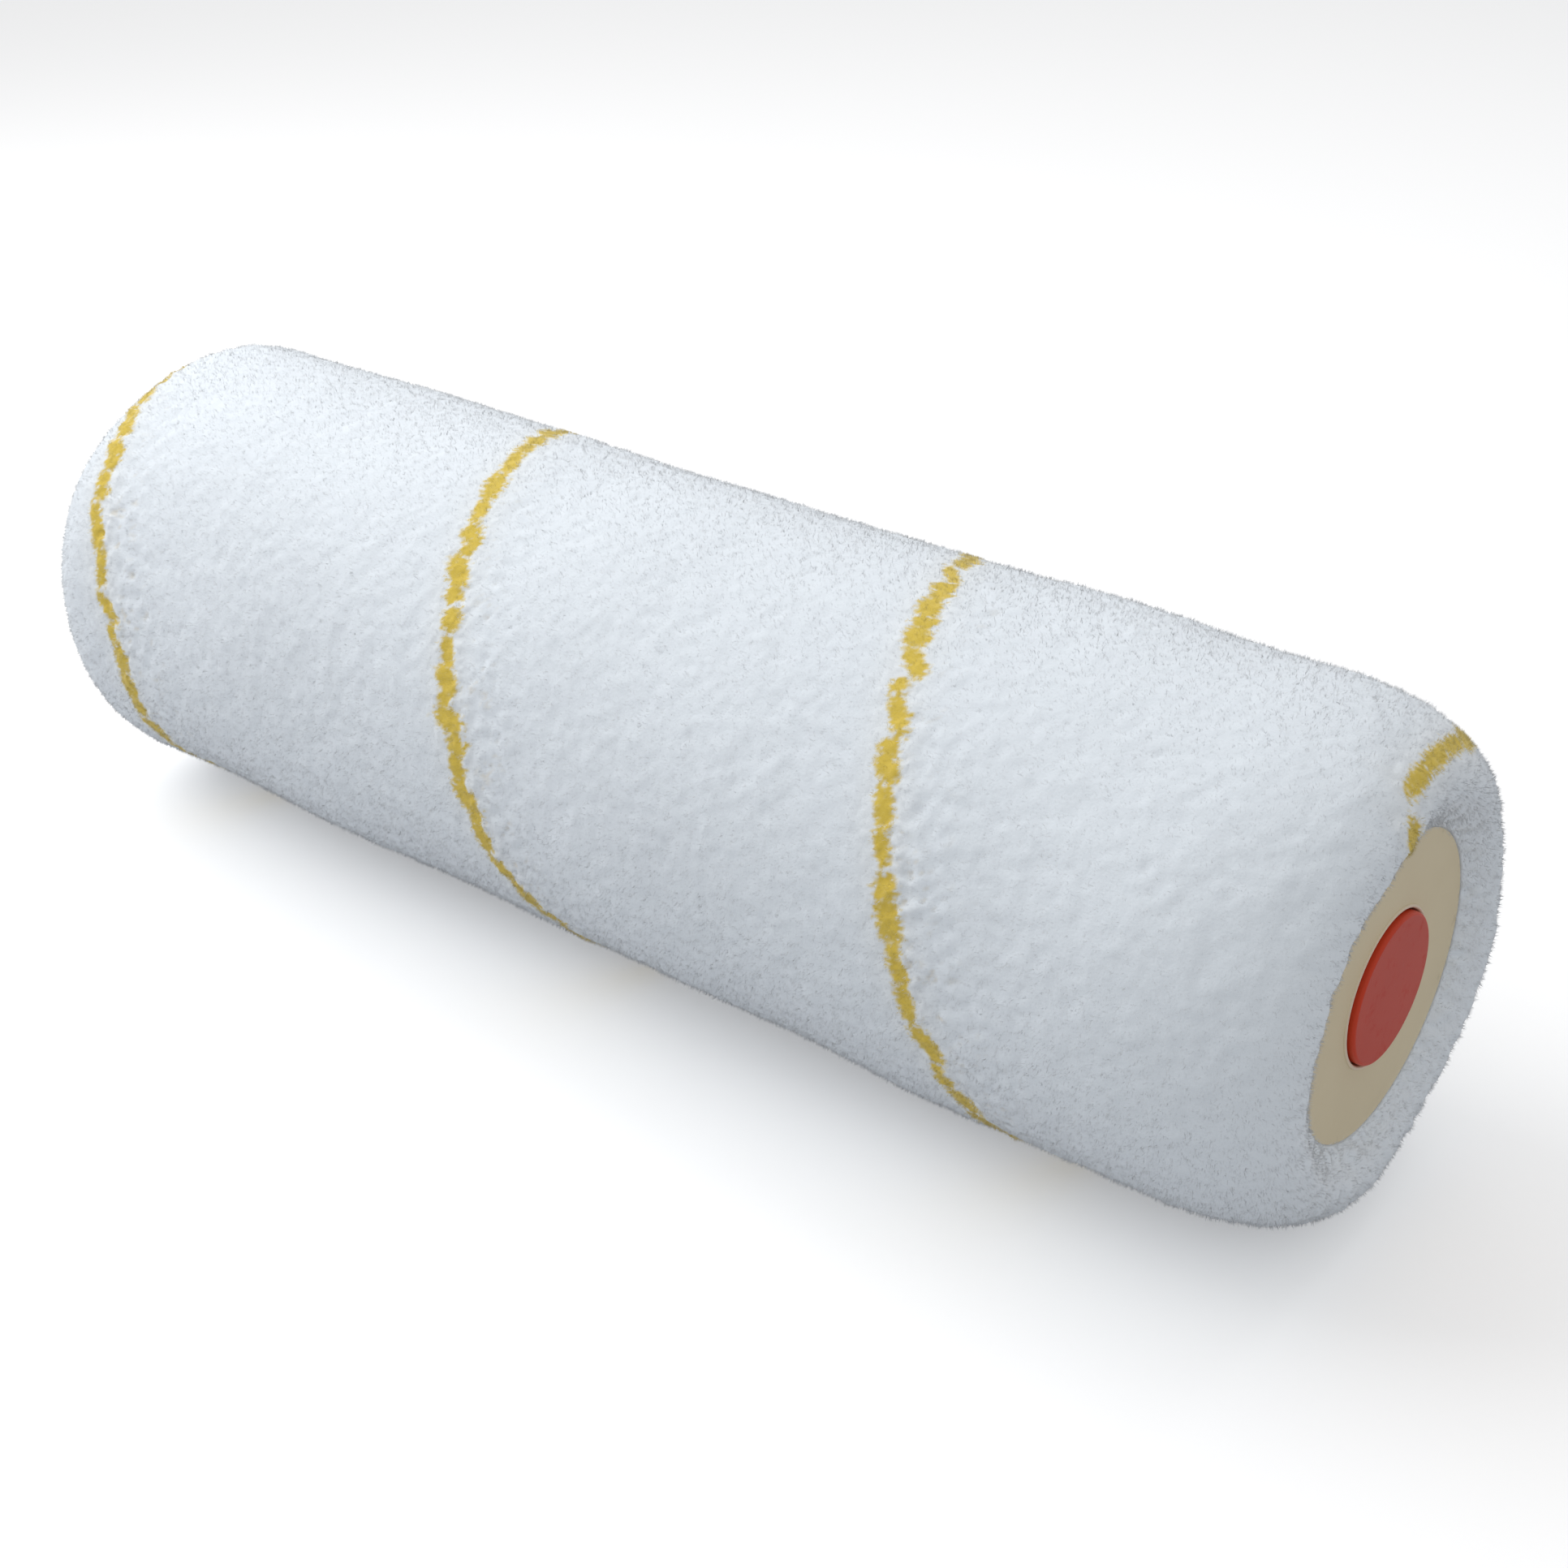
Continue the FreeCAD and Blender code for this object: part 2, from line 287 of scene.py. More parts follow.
@dataclass(frozen=True)
class Moulded(Finish):
    """Moulded or extruded plastic: even colour with faint flow, fine matt grain and small scuffs."""

    colour: Colour = (0.6, 0.6, 0.6)
    flow: Colour = (0.55, 0.55, 0.55)
    roughness: float = 0.5
    grain: float = 0.35 * MM
    depth: float = 0.02 * MM
    scuffs: float = 0.12
    specular: float = 0.45

    def fill(self, graph: Graph) -> None:
        """The moulded surface with nothing over it."""
        graph.set(Base_Color=self._surface(graph))

    def _surface(self, graph: Graph) -> Value:
        """Sets the grain and gloss, and gives two tones that drift over the piece."""
        drift = graph.noise(14 * MM, 3.0).step(0.3, 0.7)
        scuff = graph.noise(2.6 * MM, 5.0, 0.7).step(0.52, 0.72)
        dust = graph.noise(0.8 * MM, 2.0).step(0.62, 0.8)
        tone = graph.mix(drift * 0.7 + dust * 0.3, self.colour, self.flow)
        gloss = self.roughness + self.scuffs * scuff - 0.04 * dust
        relief = graph.noise(self.grain, 3.0) * 0.8 + scuff * 0.2
        graph.set(Roughness=gloss, Normal=graph.bump(relief, self.depth, 0.6))
        graph.set(Specular_IOR_Level=self.specular)
        return tone


@dataclass(frozen=True)
class EndCapPlastic(Moulded):
    """The caps' cream plastic, paler on the bead, with faint patches of painted shadow from the nap towards
    the rim.
    """

    # colour of the painted shadow from the nap towards the rim
    rim_shadow: Colour = (0.42, 0.35, 0.22)
    rim_shadow_start: float = 20.5 * MM
    rim: float = 24 * MM
    bead: Colour = (0.80, 0.66, 0.52)
    bead_radius: float = 12.15 * MM
    bead_width: float = 0.4 * MM

    def fill(self, graph: Graph) -> None:
        """The moulded finish, with the bead and the painted shadow patches over its tone."""
        tone = graph.mix(graph.ring(self.bead_radius, self.bead_width), self._surface(graph), self.bead)
        # painted shadow: darker patches where the nap overhangs the cap's rim
        rim_shadow_zone = graph.radius().step(self.rim_shadow_start, self.rim)
        rim_shadow_patch = graph.noise(7 * MM, 3.0, 0.6).step(0.60, 0.72) * rim_shadow_zone
        graph.set(Base_Color=graph.mix(rim_shadow_patch * 0.7, tone, self.rim_shadow))


@dataclass(frozen=True)
class PlugPlastic(Moulded):
    """The plug's red plastic, with a painted highlight of brighter red round its edge and a faint painted
    highlight ring on its face.
    """

    # colour of the painted highlight round the edge
    edge: Colour = (0.62, 0.052, 0.016)
    lit_edge_radius: float = 10.95 * MM
    lit_edge_width: float = 0.3 * MM
    highlight_ring_radius: float = 9.5 * MM
    highlight_ring_width: float = 0.5 * MM

    def fill(self, graph: Graph) -> None:
        """The moulded finish, with the painted highlights on the edge and the ring over its tone."""
        # painted highlight: the edge's brighter red stands in for how its wall takes the light
        edge = graph.radius().step(self.lit_edge_radius, self.lit_edge_radius + self.lit_edge_width)
        # painted highlight: the ring stands in for light on a slightly dished face
        painted_highlight = edge + graph.ring(self.highlight_ring_radius, self.highlight_ring_width) * 0.12
        graph.set(Base_Color=graph.mix(painted_highlight, self._surface(graph), self.edge))


@dataclass(frozen=True)
class SpringSteel(Finish):
    """Plain spring steel, with fine lines from rolling."""

    colour: Colour = (0.56, 0.57, 0.58)
    tarnish: Colour = (0.42, 0.40, 0.37)

    def fill(self, graph: Graph) -> None:
        """Metal with a little tarnish and rolling lines."""
        spots = graph.noise(2.0 * MM, 4.0).step(0.5, 0.75)
        lines = graph.noise(0.25 * MM, 2.0)
        graph.set(Base_Color=graph.mix(spots, self.colour, self.tarnish), Metallic=1.0)
        graph.set(Roughness=0.28 + 0.2 * spots, Normal=graph.bump(lines, 0.01 * MM, 0.5))


@dataclass(frozen=True)
class BaseWeave(Finish):
    """Plain woven base cloth."""

    thread: Colour = (0.74, 0.73, 0.70)
    gap: Colour = (0.45, 0.44, 0.41)
    pitch: float = 0.9 * MM

    WAVE = 0.314  # a wave texture of this scale repeats once in one unit

    def fill(self, graph: Graph) -> None:
        """Two sets of bands at right angles along the cloth's own threads."""
        threads = graph.node("ShaderNodeUVMap", {"uv_map": "threads"}, {})
        bands = [
            graph.node(
                "ShaderNodeTexWave",
                {"wave_type": "BANDS", "bands_direction": direction},
                {"Vector": threads, "Scale": self.WAVE / self.pitch, "Distortion": 0.6},
                1,
            )
            for direction in ("X", "Y")
        ]
        height = bands[0] * 0.5 + bands[1] * 0.5
        fuzz = graph.noise(0.3 * MM, 3.0)
        graph.set(Base_Color=graph.mix((1 - height).step(0.3, 0.9), self.thread, self.gap))
        graph.set(Roughness=0.85 + 0.1 * fuzz, Normal=graph.bump(height * 0.8 + fuzz * 0.2, 0.15 * MM))
        graph.set(Sheen_Weight=0.2)


@dataclass(frozen=True)
class StudioFloor(Finish):
    """Pale floor that shows white and gives back little light."""

    shown: Colour = (0.95, 0.95, 0.95)
    given_back: Colour = (0.60, 0.61, 0.63)
    lifted: Colour = (0.25, 0.25, 0.25)

    def fill(self, graph: Graph) -> None:
        """A pale surface to look at, and a duller one for the light that bounces."""
        seen = graph.node("ShaderNodeLightPath", {}, {}, "Is Camera Ray")
        graph.set(Base_Color=graph.mix(seen, self.given_back, self.shown), Roughness=0.9)
        graph.set(Emission_Color=graph.mix(seen, (0.0, 0.0, 0.0), self.lifted), Emission_Strength=1.0)
        graph.set(Specular_IOR_Level=0.1)


# --- Meshes ---
def mesh_piece(name: str, points: Array, faces: Array) -> Piece:
    """Makes a smooth mesh object from arrays.

    Args:
        name: The piece's name.
        points: One row of three numbers for each vertex, in metres.
        faces: One row of vertex numbers for each face, all with the same number of corners.

    Returns:
        The object, in the scene.
    """
    mesh = bpy.data.meshes.new(name)
    count, corners = faces.shape
    mesh.vertices.add(len(points))
    mesh.vertices.foreach_set("co", points.astype(np.float32).ravel())
    mesh.loops.add(count * corners)
    mesh.loops.foreach_set("vertex_index", faces.astype(np.int32).ravel())
    mesh.polygons.add(count)
    mesh.polygons.foreach_set("loop_start", np.arange(count, dtype=np.int32) * corners)
    mesh.polygons.foreach_set("use_smooth", np.full(count, True))
    mesh.update(calc_edges=True)
    mesh.validate()
    piece = bpy.data.objects.new(name, mesh)
    bpy.context.scene.collection.objects.link(piece)
    return piece


def ring_faces(rings: int, columns: int) -> Array:
    """Quads that join each ring of vertices to the next and the last to the first."""
    ring, column = np.meshgrid(np.arange(rings), np.arange(columns), indexing="ij")
    after, beside = (ring + 1) % rings, (column + 1) % columns
    corners = [(ring, column), (ring, beside), (after, beside), (after, column)]
    return np.stack([(a * columns + b).ravel() for a, b in corners], axis=-1)


def paint(piece: Piece, name: str, values: Array) -> None:
    """Stores one number for each vertex under a name that a finish can read."""
    layer = piece.data.attributes.new(name, "FLOAT", "POINT")
    layer.data.foreach_set("value", values.astype(np.float32).ravel())


def smooth_step(value: Array, low: float, high: float) -> Array:
    """A smooth step from 0 at low to 1 at high."""
    share = np.clip((value - low) / (high - low), 0.0, 1.0)
    return share * share * (3 - 2 * share)


def smooth_hump(value: Array, rise: Pair, fall: Pair) -> Array:
    """A smooth step from 0 up to 1 over one range, and back down over another."""
    return smooth_step(value, *rise) * (1 - smooth_step(value, *fall))


def cad_radius(node: str) -> float:
    """The largest radius of a CAD node round the axis, from its box."""
    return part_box(node)[1].z


# --- The nap's shape ---
class End(Enum):
    """The two ends of the sleeve, by the sign of their X."""

    OPEN = -1
    CLOSED = 1


@dataclass(frozen=True)
class Shoulder:
    """How the nap rounds off at one end, as a quarter of a superellipse.

    Args:
        reach: How far from the end the rounding starts.
        drop: How far it comes down from the outside.
        fullness: The power along the axis; 2 is an ellipse, and more keeps it full for longer.
        proud: How far the loose nap stands out past the CAD end.
    """

    reach: float
    drop: float
    fullness: float
    proud: float


@dataclass
class NapProfile:
    """Half section of the nap's skin, from the lip at the open end to the lip at the closed end."""

    end: float = field(default_factory=lambda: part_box("plush_pile")[1].x)
    outer: float = field(default_factory=lambda: cad_radius("plush_pile"))
    face: float = field(default_factory=lambda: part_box("backing_fabric")[1].x)
    bore: float = field(default_factory=lambda: cad_radius("backing_fabric"))
    lip: float = field(default_factory=lambda: cad_radius("closed_end_cap") - 0.3 * MM)
    shoulders: dict[End, Shoulder] = field(
        default_factory=lambda: {
            End.OPEN: Shoulder(14 * MM, 11 * MM, 2.2, 2.0 * MM),
            End.CLOSED: Shoulder(33.3 * MM, 11 * MM, 3.0, 0.5 * MM),
        }
    )

    SAMPLES = 4000
    LIP_SAMPLES = 60
    SHOULDER_SAMPLES = 400
    BLUR = 25  # how many samples each normal is averaged over

    def __post_init__(self) -> None:
        """Works out the section once, evenly spaced over the skin."""
        near, far = self._half(End.OPEN), self._half(End.CLOSED)
        x, radius = (np.concatenate([near[part], far[part][::-1]]) for part in (0, 1))
        run = np.concatenate([[0.0], np.cumsum(np.hypot(np.diff(x), np.diff(radius)))])
        order = np.argsort(x)
        run -= np.interp(0.0, x[order], run[order])
        self.low, self.high = float(run[0]), float(run[-1])
        self.along = np.linspace(self.low, self.high, self.SAMPLES)
        self.x = np.interp(self.along, run, x)
        self.radius = np.interp(self.along, run, radius)
        slope = np.stack([np.gradient(self.x), np.gradient(self.radius)])
        slope /= np.hypot(*slope)
        kernel = np.ones(self.BLUR) / self.BLUR
        self.normal_x, self.normal_r = (
            np.convolve(np.pad(part, self.BLUR // 2, "edge"), kernel, "valid")
            for part in (-slope[1], slope[0])
        )

    def _half(self, end: End) -> Arrays:
        """The section from one end's lip to the middle: X and radius."""
        shoulder = self.shoulders[end]
        tip = self.end + shoulder.proud
        share = np.linspace(0.0, 1.0, self.LIP_SAMPLES)
        lip_x = self.face + (tip - self.face) * share**1.5 * (2.5 - 1.5 * share)
        lip_r = self.lip + (self.outer - shoulder.drop - self.lip) * share
        angle = np.linspace(0.0, math.pi / 2, self.SHOULDER_SAMPLES)
        x = tip - shoulder.reach * (1 - np.cos(angle) ** (2 / shoulder.fullness))
        radius = self.outer - shoulder.drop * (1 - np.sin(angle))
        x, radius = np.concatenate([lip_x, x, [0.0]]), np.concatenate([lip_r, radius, [self.outer]])
        return end.value * x, radius

    def radius_at(self, along: Array) -> Array:
        """The radius of the skin at a place along it."""
        return np.interp(along, self.along, self.radius)

    def points(self, along: Array, turn: Array, lift: Array) -> Array:
        """Points at a height over the skin, as rows of X, Y and Z."""
        normal_x, normal_r = self._normal(along)
        x = np.interp(along, self.along, self.x) + lift * normal_x
        radius = self.radius_at(along) + lift * normal_r
        return np.stack([x, -radius * np.cos(turn), radius * np.sin(turn)], axis=-1)

    def directions(self, along: Array, turn: Array) -> Arrays:
        """Unit vectors out of the skin, along it towards +X, and round the axis."""
        normal_x, normal_r = self._normal(along)
        cosine, sine = -np.cos(turn), np.sin(turn)
        out = np.stack([normal_x, normal_r * cosine, normal_r * sine], axis=-1)
        forward = np.stack([normal_r, -normal_x * cosine, -normal_x * sine], axis=-1)
        return out, forward, np.stack([np.zeros_like(turn), sine, -cosine], axis=-1)

    def _normal(self, along: Array) -> Arrays:
        """The skin's normal at a place along it, as its parts along X and outwards."""
        normal_x = np.interp(along, self.along, self.normal_x)
        normal_r = np.interp(along, self.along, self.normal_r)
        length = np.hypot(normal_x, normal_r)
        return normal_x / length, normal_r / length


class Unrolled:
    """A number over the unrolled nap, held on a grid that closes round the sleeve.

    Args:
        step: The grid's spacing.
    """

    ALONG, RADIUS = 320 * MM, 41 * MM

    def __init__(self, step: float) -> None:
        """Makes an empty grid."""
        self.step = step
        self.round = 2 * math.pi * self.RADIUS
        self.grid = np.zeros((round(self.ALONG / step), round(self.round / step)))

    def __call__(self, along: Array, turn: Array) -> Array:
        """The number at places on the nap."""
        rows, columns = self.grid.shape
        row = (along / self.ALONG + 0.5) * rows
        column = turn / (2 * math.pi) * columns
        low_row, low_column = np.floor(row).astype(int), np.floor(column).astype(int)
        part_row, part_column = row - low_row, column - low_column

        def corner(down: int, across: int) -> Array:
            """The grid's value at one corner of the cell."""
            return self.grid[(low_row + down) % rows, (low_column + across) % columns]

        near = corner(0, 0) * (1 - part_column) + corner(0, 1) * part_column
        far = corner(1, 0) * (1 - part_column) + corner(1, 1) * part_column
        return near * (1 - part_row) + far * part_row

    def slope(self, along: Array, turn: Array) -> Arrays:
        """How fast the number rises along the sleeve and round it, per grid step."""
        angle = self.step / self.RADIUS
        rise = self(along + self.step, turn) - self(along - self.step, turn)
        return rise / 2, (self(along, turn + angle) - self(along, turn - angle)) / 2


class Bumps(Unrolled):
    """Smooth random bumps of one size over the nap, the same on every run; their usual height is 1.

    Args:
        size: The distance from one bump to the next.
        seed: Picks one of many patterns.
        stretch: How many times longer the bumps are round the sleeve than along it.
    """

    COARSEST = 0.4 * MM
    CELLS = 5  # grid cells to a bump
    BAND = 0.45  # how far the kept waves stray from the wanted size

    def __init__(self, size: float, seed: int, stretch: float = 1.0) -> None:
        """Fills the grid with noise and keeps only the waves near the wanted size."""
        super().__init__(min(self.COARSEST, size / self.CELLS))
        rows, columns = self.grid.shape
        noise = np.random.default_rng(seed).standard_normal((rows, columns))
        wave = np.hypot(
            np.fft.fftfreq(rows, self.ALONG / rows)[:, None],
            np.fft.rfftfreq(columns, self.round / columns)[None, :] * stretch,
        )
        kept = np.exp(-(((wave * size - 1) / self.BAND) ** 2)) * (wave > 0)
        grid = np.fft.irfft2(np.fft.rfft2(noise) * kept, s=(rows, columns))
        self.grid = grid / grid.std()


@dataclass
class MarkerLine:
    """Where the gold marker yarn stands: one helix, wound on with the base cloth.

    The winding isn't quite even. Each knot is an angle in degrees, which counts whole turns, and the
    line's place along the nap there; between knots it runs evenly. At the first knots it turns in
    over the closed end's shoulder.
    """

    profile: NapProfile
    pitch: float = 88.7 * MM
    knots: tuple[Pair, ...] = (
        (-652, 140.0 * MM),
        (-647, 133.4 * MM),
        (-642, 130.4 * MM),
        (-639, 127.6 * MM),
        (-607, 125.7 * MM),
        (-390, 77.5 * MM),
        (-250, 43.2 * MM),
        (-36, -8.0 * MM),
        (106, -43.0 * MM),
        (322, -106.5 * MM),
        (356, -106.5 * MM),
        (540, -149.8 * MM),
    )

    STEP = 2.0  # degrees to either side, for the line's slope

    @property
    def closed_end(self) -> float:
        """The angle at which the line meets the closed end's cap."""
        return self.knots[0][0]

    @property
    def open_end(self) -> float:
        """The angle at which it stops at the open end."""
        return self.knots[-1][0]

    def centre(self, degrees: Array) -> Array:
        """The line's place along the nap, for an angle that counts whole turns."""
        angles, places = zip(*self.knots)
        return np.interp(degrees, angles, places)

    def across(self, along: Array, turn: Array) -> Array:
        """The signed distance across the nearest stretch of the line; positive is towards +X."""
        nearest = np.full(np.shape(along), np.inf)
        radius = self.profile.radius_at(along)
        for turns in range(-2, 3):
            degrees = np.degrees(turn) + 360 * turns
            rise = self.centre(degrees + self.STEP) - self.centre(degrees - self.STEP)
            steep = rise / (radius * math.radians(2 * self.STEP))
            distance = (along - self.centre(degrees)) / np.hypot(1, steep)
            inside = (degrees > self.closed_end) & (degrees < self.open_end)
            closer = inside & (np.abs(distance) < np.abs(nearest))
            nearest = np.where(closer, distance, nearest)
        return nearest


@dataclass
class Tuft:
    """One tuft of marker yarn, lying on the unrolled nap as a ragged oval."""

    along: float
    turn: float
    direction: float
    half_length: float
    half_width: float

    POWERS = (3, 2.4)  # of the oval, lengthwise and crosswise
    FRAY = 0.20
    FADE = (-0.15, 0.35)

    def cover(self, along: Array, arc: Array, ragged: Array) -> Array:
        """How much of each place is covered by the tuft, from 0 to 1.

        Args:
            along: How far each place is from the tuft's middle along the sleeve.
            arc: How far it is round the sleeve.
            ragged: A random number for each place, which frays the outline.

        Returns:
            The cover of each place.
        """
        lengthwise = along * math.sin(self.direction) + arc * math.cos(self.direction)
        crosswise = along * math.cos(self.direction) - arc * math.sin(self.direction)
        oval = np.abs(lengthwise / self.half_length) ** self.POWERS[0]
        oval += np.abs(crosswise / self.half_width) ** self.POWERS[1]
        return smooth_step(1 - np.sqrt(oval) + self.FRAY * ragged, *self.FADE)


class MarkerTufts(Unrolled):
    """How much of the nap is marker yarn at each place, from 0 to 1.

    Args:
        line: The line that the tufts follow.
        seed: Picks the tufts' lengths, tilts and gaps.
    """

    CELL = 0.2 * MM
    FIRST = (  # the gap before, half length and half width of the tufts nearest the closed end
        (3.0 * MM, 3.2 * MM, 2.3 * MM),
        (3.0 * MM, 5.0 * MM, 1.7 * MM),
        (-2.5 * MM, 5.5 * MM, 1.7 * MM),
        (-3.0 * MM, 5.0 * MM, 1.6 * MM),
    )
    HALF_LENGTH = (1.3 * MM, 4.2 * MM)
    HALF_WIDTH = (1.25 * MM, 2.25 * MM)
    GAP = (-2.7 * MM, 0.5 * MM)
    TILT = (-8.0, 18.0)  # usual value and spread, in degrees
    JITTER = 0.35 * MM
    REACH = 8.0 * MM
    WISP_LENGTH = (1.0 * MM, 2.0 * MM)
    WISP_WIDTH = (0.25 * MM, 0.60 * MM)
    WISP_TILT = (45.0, 30.0)
    WISPS = 0.5  # the share of tufts with a wisp at their +X side
    WISP_OUT = 0.6  # how far out it starts, in half widths of its tuft

    def __init__(self, line: MarkerLine, seed: int = 51) -> None:
        """Stamps tuft after tuft along the line."""
        super().__init__(self.CELL)
        rows, columns = self.grid.shape
        along, turn = np.meshgrid(
            (np.arange(rows) / rows - 0.5) * self.ALONG,
            np.arange(columns) / columns * 2 * math.pi,
            indexing="ij",
        )
        coarse, fine = Bumps(1.6 * MM, seed + 1, 0.6), Bumps(0.8 * MM, seed + 2)
        self.ragged = coarse(along, turn) + 0.6 * fine(along, turn)
        rng = np.random.default_rng(seed)
        degrees = line.closed_end
        for gap, half, width in self.FIRST:
            degrees = self._ahead(line, degrees, gap + half)
            self._stamp(self._on(line, degrees, (half, width)))
            degrees = self._ahead(line, degrees, half)
        while degrees < line.open_end:
            half = float(rng.uniform(*self.HALF_LENGTH))
            degrees = self._ahead(line, degrees, half + float(rng.uniform(*self.GAP)) / 2)
            tilt = float(rng.normal(*self.TILT))
            out = self.JITTER * float(rng.standard_normal())
            width = float(rng.uniform(*self.HALF_WIDTH))
            self._stamp(self._on(line, degrees, (half, width), tilt, out))
            if rng.uniform() < self.WISPS:
                tilt = float(rng.normal(*self.WISP_TILT))
                out += self.WISP_OUT * width
                length = float(rng.uniform(*self.WISP_LENGTH))
                width = float(rng.uniform(*self.WISP_WIDTH))
                self._stamp(self._on(line, degrees, (length, width), tilt, out))
            degrees = self._ahead(line, degrees, half + float(rng.uniform(*self.GAP)) / 2)

    def _on(self, line: MarkerLine, degrees: float, size: Pair, tilt: float = 0.0, out: float = 0.0) -> Tuft:
        """A tuft on the line, tilted by some degrees and moved out towards +X."""
        direction = math.atan2(*self._step(line, degrees)) + math.radians(tilt)
        return Tuft(float(line.centre(degrees)) + out, math.radians(degrees), direction, *size)

    def _step(self, line: MarkerLine, degrees: float) -> Pair:
        """How far the line goes along the sleeve and round it in one degree."""
        run = float(line.centre(degrees + 0.5) - line.centre(degrees - 0.5))
        return run, self.RADIUS * math.radians(1)

    def _ahead(self, line: MarkerLine, degrees: float, distance: float) -> float:
        """The angle at a distance further along the line."""
        return degrees + distance / math.hypot(*self._step(line, degrees))

    def _stamp(self, tuft: Tuft) -> None:
        """Adds one tuft to the grid."""
        rows, columns = self.grid.shape
        middle_row = round((tuft.along / self.ALONG + 0.5) * rows)
        middle_column = round(tuft.turn / (2 * math.pi) * columns)
        reach = round(self.REACH / self.step)
        row = np.arange(middle_row - reach, middle_row + reach + 1)[:, None]
        column = np.arange(middle_column - reach, middle_column + reach + 1)[None, :]
        window = np.ix_(row.ravel() % rows, column.ravel() % columns)
        far_along = (row / rows - 0.5) * self.ALONG - tuft.along
        far_round = (column / columns * 2 * math.pi - tuft.turn) * self.RADIUS
        cover = tuft.cover(far_along, far_round, self.ragged[window])
        self.grid[window] = np.maximum(self.grid[window], cover)


@dataclass
class NapRelief:
    """The height of the nap over its even skin, with the ruffled band beside the marker yarn."""

    profile: NapProfile
    line: MarkerLine
    tufted: MarkerTufts

    # Where things rise and fall: the ruffled band across the line, and the rest in from the lip.
    BAND = ((-1.5 * MM, 1.5 * MM), (5 * MM, 17 * MM))
    CREST = ((4 * MM, 7 * MM), (9 * MM, 13 * MM))
    LIP = ((0.3 * MM, 1.5 * MM), (2.5 * MM, 6 * MM))
    BODY = (0.3 * MM, 6 * MM)
    ROUGH = (4 * MM, 10 * MM)
    # The ruffle is strongest at this angle, and falls to a share of that behind.
    RUFFLED_AT = math.radians(4)
    RUFFLED_BEHIND = 0.25
    # Heights in millimetres; of two, the second comes on with the ruffle or with the locks.
    BASE, SWELL, CLUMP = -0.3, 0.25, 0.06
    TUFT, GRAIN, DENT = (0.050, 0.07), (0.030, 0.05), (0.16, 0.20)
    CREST_HEIGHT, LIP_HEIGHT = (0.05, 0.12), (0.12, 0.20)
    # Colour: creases' width, and how much painted shade darkens the hollows, the line's warm glow, and how
    # much warm painted shade the creases take.
    CREASE = 0.26
    HOLLOW, GLOW, GLOW_REACH, CREASE_GLOW = 0.8, 0.25, 4 * MM, 0.9

    def __post_init__(self) -> None:
        """Makes the patterns of swells, clumps, grain, dimples and creases."""
        self.swells = Bumps(48 * MM, 1)
        self.clumps = Bumps(9 * MM, 2)
        self.tufts = Bumps(3.8 * MM, 3)
        self.grain = Bumps(1.9 * MM, 4)
        self.dimples = Bumps(4.0 * MM, 5)
        self.creases = Bumps(5.0 * MM, 6, 0.6)
        self.lean = Bumps(2.4 * MM, 7)
        self.comb = Bumps(14 * MM, 8)
        self.locks = Bumps(5.0 * MM, 9)

    def ruffle(self, along: Array, turn: Array) -> Array:
        """How ruffled the nap is, from 0 to 1: most beside the marker yarn, towards +X, at the front."""
        front = np.clip(np.cos(turn - self.RUFFLED_AT), 0, 1) ** 2
        share = self.RUFFLED_BEHIND + (1 - self.RUFFLED_BEHIND) * front
        return smooth_hump(self.line.across(along, turn), *self.BAND) * share

    def dents(self, along: Array, turn: Array) -> Array:
        """Small dimples everywhere and creases in the ruffled band, from 0 to 1."""
        ruffle = self.ruffle(along, turn)
        dimple = smooth_step(self.dimples(along, turn), 2.0, 3.0)
        ridge = 1 - np.abs(self.creases(along, turn)) / self.CREASE
        crease = np.clip(ridge, 0, 1) * smooth_step(self.clumps(along, turn), -0.3, 0.9) * ruffle
        return np.clip(dimple + crease, 0, 1)

    def colours(self, along: Array, turn: Array) -> dict[str, Array]:
        """What the nap's finish reads at each place: painted shade in the hollows, warm tint with warm
        painted shade in the creases, and yarn, from 0 to 1.
        """
        dents = self.dents(along, turn)
        warmth = self.GLOW * np.exp(-((self.line.across(along, turn) / self.GLOW_REACH) ** 2))
        # warm painted shade in the ruffled creases
        warmth += self.CREASE_GLOW * dents * self.ruffle(along, turn)
        return {
            # painted shade in the dimples and creases
            "hollow": self.HOLLOW * dents,
            "warmth": np.clip(warmth, 0, 1),
            "yarn": self.tufted(along, turn),
        }

    def lift(self, along: Array, turn: Array) -> Array:
        """The height over the even skin, in metres."""
        ruffle = self.ruffle(along, turn)
        edge = np.minimum(along - self.profile.low, self.profile.high - along)
        rough = smooth_step(edge, *self.ROUGH)
        locks = self.locks(along, turn)

        def both(pair: Pair, share: Array) -> Array:
            """A height, and what is added to it by a share."""
            return pair[0] + pair[1] * share

        height = self.BASE + self.SWELL * self.swells(along, turn) + self.CLUMP * self.clumps(along, turn)
        height += rough * both(self.TUFT, ruffle) * self.tufts(along, turn)
        height += rough * both(self.GRAIN, ruffle) * self.grain(along, turn)
        height -= both(self.DENT, ruffle) * self.dents(along, turn)
        height += smooth_hump(edge, *self.CREST) * both(self.CREST_HEIGHT, locks)
        height *= smooth_step(edge, *self.BODY)
        return MM * (height + smooth_hump(edge, *self.LIP) * both(self.LIP_HEIGHT, locks))

    def cells(self, size: float) -> Arrays:
        """Places all over the nap in rows and columns: how far along, and the turn."""
        rows = round((self.profile.high - self.profile.low) / size)
        columns = round(2 * math.pi * self.profile.outer / size)
        along = np.linspace(self.profile.low, self.profile.high, rows)
        return np.meshgrid(along, np.arange(columns) * 2 * math.pi / columns, indexing="ij")


